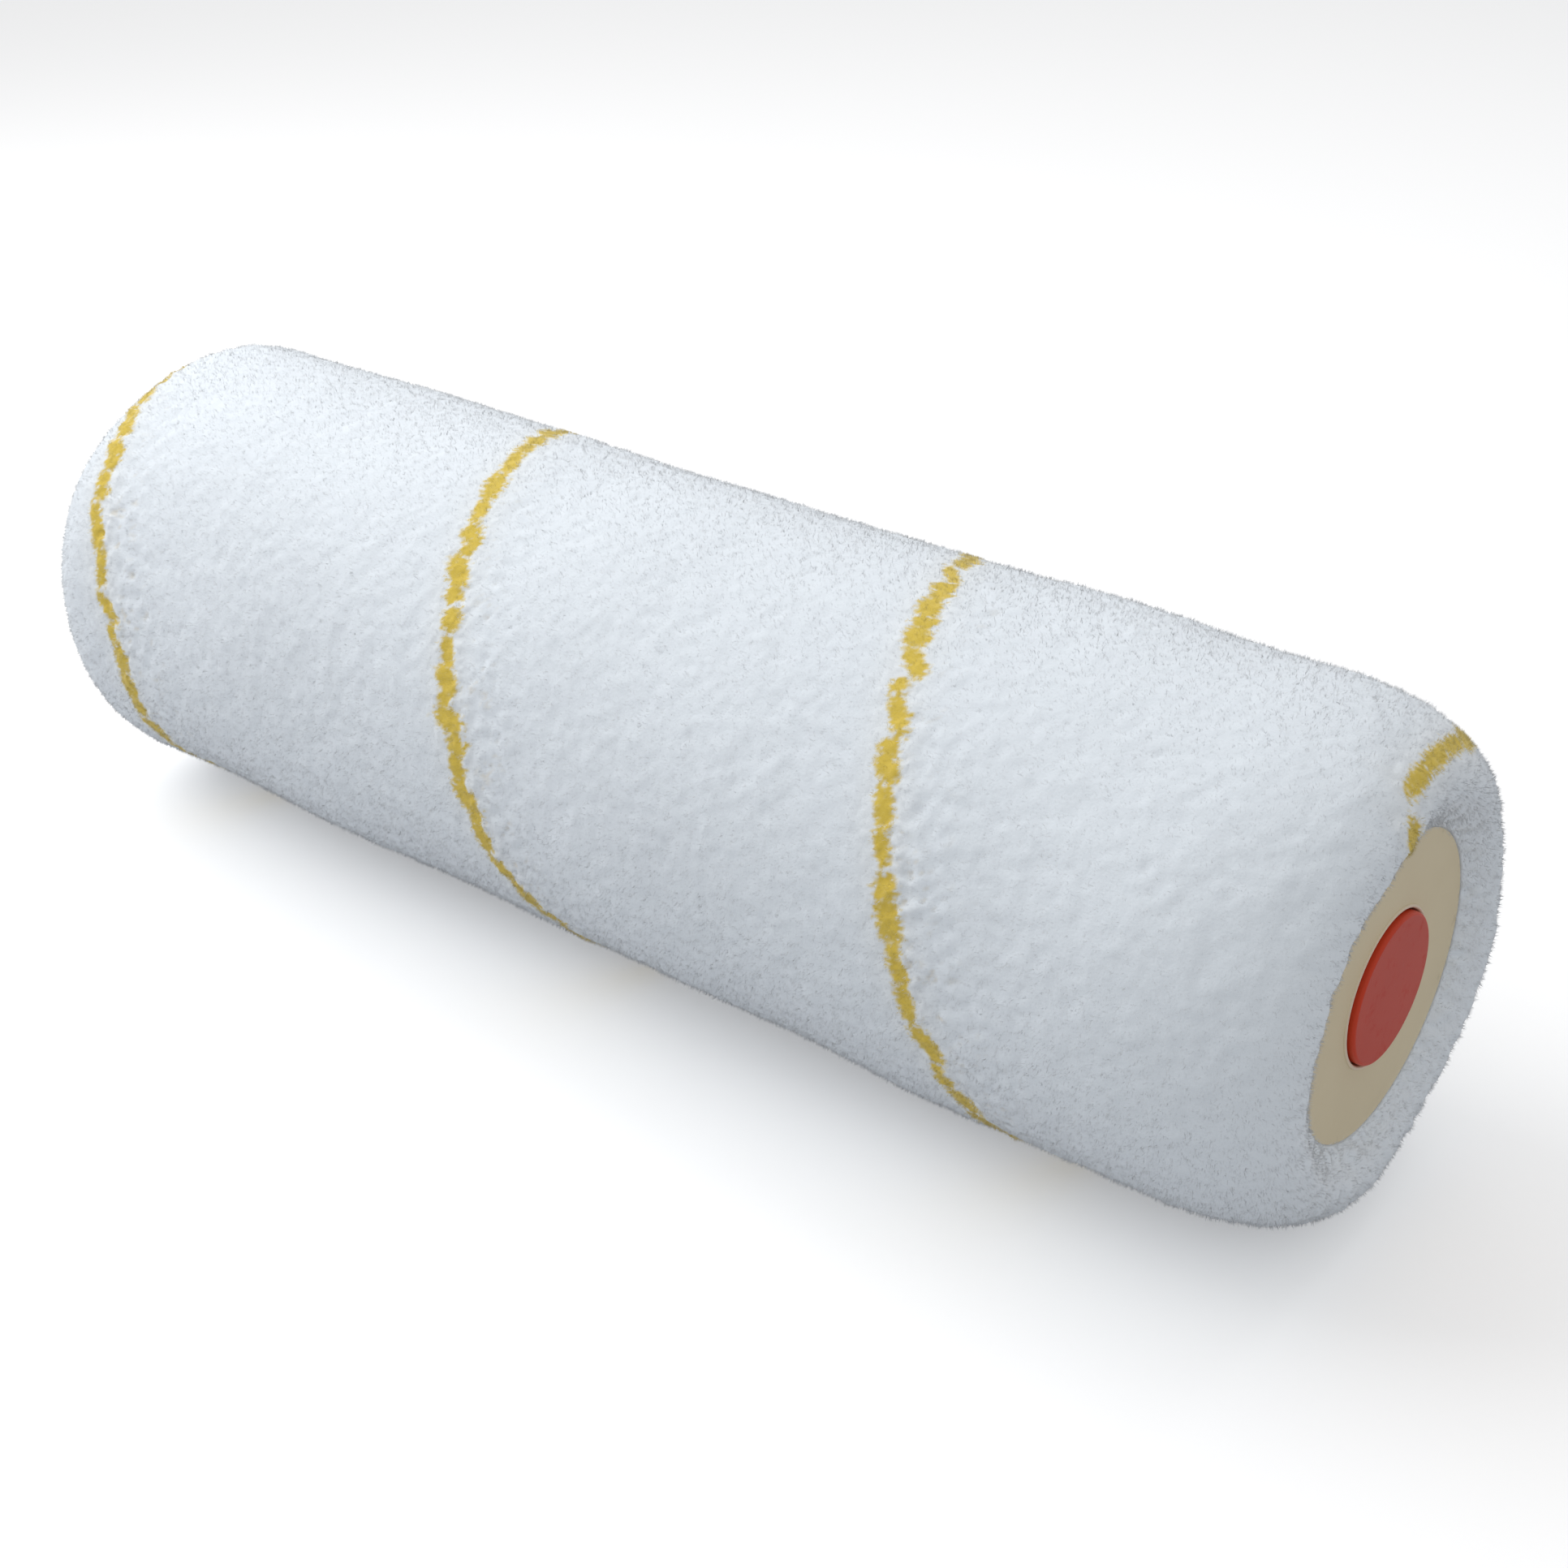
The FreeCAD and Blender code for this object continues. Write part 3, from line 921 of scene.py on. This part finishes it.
# --- Sub-assemblies ---
@dataclass
class NapBody:
    """The body of the nap, as one closed skin round the base cloth."""

    relief: NapRelief
    cell: float = 0.62 * MM
    tuck: float = 0.1 * MM  # how far its bore stops short of each lip
    finish: PlushSkin = PlushSkin("white_nap")

    def build(self) -> Piece:
        """Makes the skin, paints its hollow shade, warm tint and yarn, and puts it in the nap's place."""
        profile = self.relief.profile
        along, turn = self.relief.cells(self.cell)
        rows, columns = along.shape
        rings = list(profile.points(along, turn, self.relief.lift(along, turn)))
        for x in (profile.face - self.tuck, self.tuck - profile.face):
            rings.append(np.stack([np.full(columns, x), *self._circle(turn[0])], axis=-1))
        piece = mesh_piece("nap", np.concatenate(rings), ring_faces(len(rings), columns))
        outside = np.arange(len(piece.data.polygons)) < (rows - 1) * columns
        piece.data.polygons.foreach_set("use_smooth", outside)
        bore = np.zeros(2 * columns)
        for name, values in self.relief.colours(along, turn).items():
            paint(piece, name, np.concatenate([values.ravel(), bore]))
        self.finish.dress(piece)
        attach(piece, SLEEVE_BODY)
        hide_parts("plush_pile")
        return piece

    def _circle(self, turn: Array) -> Arrays:
        """Y and Z of a ring on the nap's bore."""
        return -self.relief.profile.bore * np.cos(turn), self.relief.profile.bore * np.sin(turn)


@dataclass
class FibreField:
    """Loose fibres rooted in the nap, each a thin three-sided point. Each lean is a slope."""

    relief: NapRelief
    root_depth: float = 0.55 * MM
    radius: Pair = (0.06 * MM, 0.10 * MM)
    length: Pair = (0.9 * MM, 1.5 * MM)
    spread: float = 0.40  # random lean of each fibre
    inward: float = 0.0  # lean of all away from the sleeve's middle
    parting: float = 0.7  # lean apart over each small tuft
    combing: float = 0.12  # lean together over each larger patch
    droop: float = 0.15  # lean of all round the sleeve

    def build(self, name: str, along: Array, turn: Array, finish: Fibre, rng: np.random.Generator) -> Piece:
        """Makes one piece with a fibre at each place.

        Args:
            name: The piece's name.
            along: Each fibre's place along the nap.
            turn: Each fibre's angle round the axis.
            finish: The shade of the fibres.
            rng: Gives lengths, radii and small leans.

        Returns:
            The piece, riding on the sleeve.
        """
        count = len(along)
        profile = self.relief.profile
        out, forward, sideways = profile.directions(along, turn)
        lift = self.relief.lift(along, turn) - self.root_depth
        root = profile.points(along, turn, lift)
        tuft_along, tuft_turn = self.relief.lean.slope(along, turn)
        combed = self.relief.comb(along, turn)
        lean_along = self.parting * tuft_along + self.spread * rng.standard_normal(count)
        lean_along += self.combing * combed + self.inward * np.sign(along)
        lean_turn = self.parting * tuft_turn + self.spread * rng.standard_normal(count) - self.droop
        direction = out + lean_along[:, None] * forward + lean_turn[:, None] * sideways
        direction /= np.linalg.norm(direction, axis=1)[:, None]
        length = rng.uniform(*self.length, count)[:, None]
        radius = rng.uniform(*self.radius, count)[:, None]
        side = np.cross(direction, forward)
        side /= np.linalg.norm(side, axis=1)[:, None]
        other = np.cross(direction, side)
        spin = rng.uniform(0, 2 * math.pi, count)[:, None]
        spokes = [
            side * np.cos(spin + third) + other * np.sin(spin + third)
            for third in (0, 2 * math.pi / 3, 4 * math.pi / 3)
        ]
        corners = [root + radius * spoke for spoke in spokes]
        points = np.stack([*corners, root + direction * length], axis=1).reshape(-1, 3)
        first = np.arange(count)[:, None] * 4
        sides = [first + np.array([[a, b, 3]]) for a, b in ((0, 1), (1, 2), (2, 0))]
        piece = mesh_piece(name, points, np.stack(sides, axis=1).reshape(-1, 3))
        normals = np.stack([*(spoke + out for spoke in spokes), out], axis=1).reshape(-1, 3)
        normals /= np.linalg.norm(normals, axis=1)[:, None]
        piece.data.normals_split_custom_set_from_vertices(normals.astype(np.float32))
        # Real fibres let light through, so these neither cast shadows nor take part in bounces.
        piece.visible_shadow = False
        piece.visible_diffuse = False
        finish.dress(piece)
        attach(piece, SLEEVE_BODY)
        return piece


@dataclass
class NapFibres:
    """White fibres all over the nap, in pieces of one shade each."""

    relief: NapRelief
    each: int = 66000
    clearing: float = 1.2  # how fast they thin out where there is yarn
    shades: tuple[Colour, ...] = (
        (0.89, 0.93, 0.965),
        (0.84, 0.885, 0.93),
        (0.80, 0.845, 0.89),
        (0.865, 0.905, 0.94),
        (0.755, 0.785, 0.81),
    )
    seed: int = 21

    def build(self) -> list[Piece]:
        """Makes one piece for each shade, leaving out the marker yarn's tufts."""
        made = []
        for number, shade in enumerate(self.shades):
            rng = np.random.default_rng(self.seed + number)
            along, turn = self._places(rng)
            kept = rng.uniform(size=len(along)) > self.clearing * self.relief.tufted(along, turn)
            fibre = Fibre(f"white_fibre_{number + 1}", shade)
            name = f"nap_fibres_{number + 1}"
            made.append(FibreField(self.relief).build(name, along[kept], turn[kept], fibre, rng))
        return made

    def _places(self, rng: np.random.Generator) -> Arrays:
        """Places spread evenly over the skin's area."""
        profile = self.relief.profile
        share = np.cumsum(profile.radius)
        along = np.interp(rng.uniform(0, share[-1], self.each), share, profile.along)
        return along, rng.uniform(0, 2 * math.pi, self.each)


@dataclass
class RimFluff:
    """More fibres round both ends, which lean in over the caps' edges."""

    relief: NapRelief
    each: int = 9000  # for both ends
    reach: Pair = (0.5 * MM, 5.0 * MM)
    shade: Colour = (0.86, 0.905, 0.945)
    seed: int = 31

    def build(self) -> Piece:
        """Makes the fluff of both ends as one piece."""
        rng = np.random.default_rng(self.seed)
        profile = self.relief.profile
        inset = rng.uniform(*self.reach, self.each)
        closed = rng.uniform(size=self.each) < 0.5
        along = np.where(closed, profile.high - inset, profile.low + inset)
        turn = rng.uniform(0, 2 * math.pi, self.each)
        kept = rng.uniform(size=self.each) > self.relief.tufted(along, turn)
        fluff = FibreField(
            self.relief, length=(0.8 * MM, 1.5 * MM), spread=0.35, inward=0.4, root_depth=0.5 * MM
        )
        return fluff.build("rim_fluff", along[kept], turn[kept], Fibre("rim_fibre", self.shade), rng)


@dataclass
class MarkerYarn:
    """Tufts of gold yarn along the marker line: a fine strip of the nap's skin, and fibres on it."""

    relief: NapRelief
    cell: float = 0.33 * MM
    half_band: float = 5.4 * MM
    taper: float = 2.8 * MM  # where the strip starts to dip, in from its edges
    rise: float = 0.06 * MM
    sink: float = 0.22 * MM
    each: int = 60000
    share: float = 0.7  # of the fibres, kept where the yarn is densest
    reach: float = 3.4 * MM
    shades: tuple[Colour, ...] = ((0.76, 0.59, 0.13), (0.66, 0.47, 0.07), (0.80, 0.65, 0.20))
    seed: int = 41
    finish: PlushSkin = PlushSkin("white_nap")

    def build(self) -> list[Piece]:
        """Makes the strip, and one piece of fibres for each shade of gold."""
        made = [self._band()]
        line = self.relief.line
        for number, shade in enumerate(self.shades):
            rng = np.random.default_rng(self.seed + number)
            degrees = rng.uniform(line.closed_end, line.open_end, self.each)
            along = line.centre(degrees) + rng.uniform(-self.reach, self.reach, self.each)
            turn = np.radians(degrees)
            inside = (along > self.relief.profile.low) & (along < self.relief.profile.high)
            kept = inside & (rng.uniform(size=self.each) < self.share * self.relief.tufted(along, turn))
            fibre = Fibre(f"gold_yarn_{number + 1}", shade)
            fibres = FibreField(self.relief, length=(0.8 * MM, 1.3 * MM), spread=0.4)
            name = f"marker_yarn_{number + 1}"
            made.append(fibres.build(name, along[kept], turn[kept], fibre, rng))
        return made

    def _band(self) -> Piece:
        """The strip of skin that holds the tufts, whose edges dip under the rest of the nap."""
        along, turn = self.relief.cells(self.cell)
        rows, columns = along.shape
        far = np.abs(self.relief.line.across(along, turn))
        faces = ring_faces(rows, columns)[: (rows - 1) * columns]
        faces = faces[(far.ravel()[faces] < self.half_band).all(axis=1)]
        used, corner = np.unique(faces.ravel(), return_inverse=True)
        along, turn, far = along.ravel()[used], turn.ravel()[used], far.ravel()[used]
        dip = self.sink * smooth_step(far, self.half_band - self.taper, self.half_band)
        lift = self.relief.lift(along, turn) + self.rise - dip
        points = self.relief.profile.points(along, turn, lift)
        band = mesh_piece("marker_band", points, corner.reshape(faces.shape))
        # the same painted shade, warm tint and yarn as the nap's skin
        for name, values in self.relief.colours(along, turn).items():
            paint(band, name, values)
        self.finish.dress(band)
        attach(band, SLEEVE_BODY)
        return band


@dataclass
class BaseCloth:
    """The base cloth: one strip wound on the core in a helix with its edges butted."""

    line: MarkerLine
    thickness: float = 1.2 * MM
    fill: float = 0.9  # the strip's share of that thickness
    seam: float = 0.4 * MM
    cell: float = 2.0 * MM
    sliver: float = 0.05 * MM  # narrower faces, cut off by the ends, are left out
    finish: BaseWeave = BaseWeave("plain_weave")

    def build(self, on_it: list[Piece]) -> Piece:
        """Winds the strip, cut off square at both ends of the core.

        Args:
            on_it: The pieces that are tufted into the cloth; not used.

        Returns:
            The strip.
        """
        low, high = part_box("backing_fabric")
        radius = high.z - self.thickness / 2
        pitch = self.line.pitch
        slope = pitch / (2 * math.pi * radius)
        width = pitch * math.cos(math.atan(slope))
        turns = (high.x - low.x + pitch) / pitch
        steps = round(turns * 2 * math.pi * radius / self.cell)
        columns = round(pitch / self.cell)
        turn, share = np.meshgrid(
            np.linspace(0, turns * 2 * math.pi, steps), np.linspace(0, 1, columns), indexing="ij"
        )
        seam = self.seam / 2 / pitch
        x = low.x - pitch + slope * radius * turn + pitch * (seam + share * (1 - 2 * seam))
        x = np.clip(x, low.x, high.x)
        points = np.stack([x, -radius * np.cos(turn), -radius * np.sin(turn)], axis=-1)
        row, column = np.meshgrid(np.arange(steps - 1), np.arange(columns - 1), indexing="ij")
        corner = (row * columns + column).ravel()
        faces = np.stack([corner, corner + 1, corner + columns + 1, corner + columns], axis=-1)
        wide = np.ptp(x.ravel()[faces], axis=1) > self.sliver
        piece = mesh_piece("base_cloth_strip", points.reshape(-1, 3), faces[wide])
        self._thread(piece, radius * turn, share * width)
        self._thicken(piece)
        self.finish.dress(piece)
        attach(piece, SLEEVE_BODY)
        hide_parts("backing_fabric")
        length = (high.x - low.x) * 2 * math.pi * radius / width
        return piece

    @staticmethod
    def _thread(piece: Piece, warp: Array, weft: Array) -> None:
        """Gives the strip coordinates in metres along its own threads."""
        layer = piece.data.uv_layers.new(name="threads")
        corner = np.zeros(len(piece.data.loops), np.int32)
        piece.data.loops.foreach_get("vertex_index", corner)
        both = np.stack([warp.ravel()[corner], weft.ravel()[corner]], axis=-1)
        layer.data.foreach_set("uv", both.astype(np.float32).ravel())

    def _thicken(self, piece: Piece) -> None:
        """Gives the strip its thickness, all of it inside the CAD ring."""
        solid = piece.modifiers.new("thickness", "SOLIDIFY")
        solid.thickness = self.thickness * self.fill
        solid.offset = 0.0


@dataclass
class Mouldings:
    """The CAD pieces that stay as they are, each with its own finish.

    No finish has the name of one of the CAD's own materials, which Finish.dress would find first.
    """

    finishes: dict[str, Finish] = field(
        default_factory=lambda: {
            "cream_plastic": EndCapPlastic(
                "cap_moulding", (0.765, 0.660, 0.452), (0.73, 0.625, 0.422), 0.6, scuffs=0.10
            ),
            "red_plastic": PlugPlastic(
                "plug_moulding", (0.56, 0.051, 0.022), (0.53, 0.046, 0.020), 0.40, 0.5 * MM, 0.012 * MM,
                specular=0.25,
            ),
            "grey_core_plastic": Moulded(
                "core_extrusion", (0.45, 0.46, 0.47), (0.40, 0.41, 0.42), 0.6, 0.6 * MM, 0.04 * MM
            ),
            "white_bearing_plastic": Moulded(
                "bearing_moulding", (0.84, 0.84, 0.80), (0.80, 0.79, 0.74), 0.35
            ),
            "spring_steel": SpringSteel("rolled_steel"),
        }
    )

    def build(self) -> None:
        """Dresses each node by the slot that the record gives it."""
        for subpart in frame["record"]["subparts"]:
            finish = self.finishes.get(subpart["material_slot"])
            if finish is not None:
                finish.dress(frame["nodes"][subpart["node"]])
                log.info("%s: %s", subpart["node"], finish.name)


# --- Studio ---
def towards(azimuth: float, elevation: float) -> Vector:
    """The unit vector from the sleeve to a viewer at an azimuth and elevation in degrees."""
    around, up = math.radians(azimuth), math.radians(elevation)
    return Vector((math.sin(around) * math.cos(up), -math.cos(around) * math.cos(up), math.sin(up)))


@dataclass(frozen=True)
class Lamp:
    """A square soft light that faces the sleeve.

    Args:
        name: The light's name.
        azimuth: The direction that it stands in, in degrees.
        elevation: How high it stands, in degrees.
        distance: How far it is from the sleeve's middle.
        size: The length of its side.
        power: Its power in watts.
    """

    name: str
    azimuth: float
    elevation: float
    distance: float
    size: float
    power: float

    def build(self) -> None:
        """Puts the light in the scene."""
        lamp = bpy.data.lights.new(self.name, "AREA")
        lamp.size = self.size
        lamp.energy = self.power
        light = bpy.data.objects.new(self.name, lamp)
        back = towards(self.azimuth, self.elevation)
        light.location = back * self.distance
        light.rotation_euler = back.to_track_quat("Z", "Y").to_euler()
        bpy.context.scene.collection.objects.link(light)


@dataclass
class Studio:
    """Pale floor, soft light from above and a camera in front of the closed end."""

    azimuth: float = 40.73
    elevation: float = 27.93
    distance: float = 388.6 * MM
    aim_azimuth: float = 38.49
    aim_elevation: float = 29.37
    lens: float = 52.4
    floor_size: float = 6.0
    key: Lamp = Lamp("key", -72.0, 47.0, 0.54, 0.5, 1.66)
    fill: Lamp = Lamp("fill", -170.0, 62.0, 0.9, 0.7, 0.95)
    sky_light: float = 0.575
    backdrop: float = 0.98
    sky: Colour = (0.985, 0.99, 1.0)

    def build(self) -> None:
        """Makes the floor, the lights and the camera."""
        self._floor()
        self._sky()
        self.key.build()
        self.fill.build()
        self._camera()
        bpy.context.scene.view_settings.view_transform = "Standard"

    def _floor(self) -> None:
        """A large square floor under the sleeve."""
        level, half = cad_box[0].z, self.floor_size / 2
        signs = ((-1, -1), (1, -1), (1, 1), (-1, 1))
        corners = np.array([(x * half, y * half, level) for x, y in signs])
        floor = mesh_piece("floor", corners, np.array([[0, 1, 2, 3]]))
        StudioFloor("pale_floor").dress(floor)
        floor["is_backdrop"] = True

    def _sky(self) -> None:
        """Even light from all round, and a pale backdrop behind the floor."""
        world = bpy.data.worlds.new("studio")
        world.use_nodes = True
        tree = world.node_tree
        path = tree.nodes.new("ShaderNodeLightPath")
        shown = tree.nodes.new("ShaderNodeMapRange")
        shown.inputs["To Min"].default_value = self.sky_light
        shown.inputs["To Max"].default_value = self.backdrop
        tree.links.new(path.outputs["Is Camera Ray"], shown.inputs["Value"])
        background = tree.nodes["Background"]
        background.inputs["Color"].default_value = (*self.sky, 1.0)
        tree.links.new(shown.outputs[0], background.inputs["Strength"])
        bpy.context.scene.world = world

    def _camera(self) -> None:
        """The camera, level, close to the closed end."""
        camera = bpy.data.objects.new("camera", bpy.data.cameras.new("camera"))
        camera.data.lens = self.lens
        camera.data.clip_start = 10 * MM
        camera.location = towards(self.azimuth, self.elevation) * self.distance
        aim = towards(self.aim_azimuth, self.aim_elevation)
        camera.rotation_euler = aim.to_track_quat("Z", "Y").to_euler()
        bpy.context.scene.collection.objects.link(camera)
        bpy.context.scene.camera = camera


def report(pieces: list[Piece]) -> None:
    """Logs each piece with the size of its mesh."""
    for piece in pieces:
        mesh = piece.data
        log.info("%s: %d vertices, %d faces", piece.name, len(mesh.vertices), len(mesh.polygons))


def write_sizes() -> None:
    """Puts the CAD box and the finished model's box in a dict, which is not kept."""
    boxes = {"cad": cad_box, "visual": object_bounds()}
    {name: [list(low), list(high)] for name, (low, high) in boxes.items()}


def main() -> None:
    """Builds the studio and each sub-assembly, and reports them."""
    logging.basicConfig(level=logging.INFO, format="%(name)s: %(message)s")
    Studio().build()
    profile = NapProfile()
    line = MarkerLine(profile)
    relief = NapRelief(profile, line, MarkerTufts(line))
    nap = NapBody(relief).build()
    fibres = [*NapFibres(relief).build(), RimFluff(relief).build()]
    yarn = MarkerYarn(relief).build()
    cloth = BaseCloth(line).build([nap, *fibres, *yarn])
    report([nap, *fibres, *yarn, cloth])
    Mouldings().build()
    write_sizes()


if __name__ == "__main__":
    main()
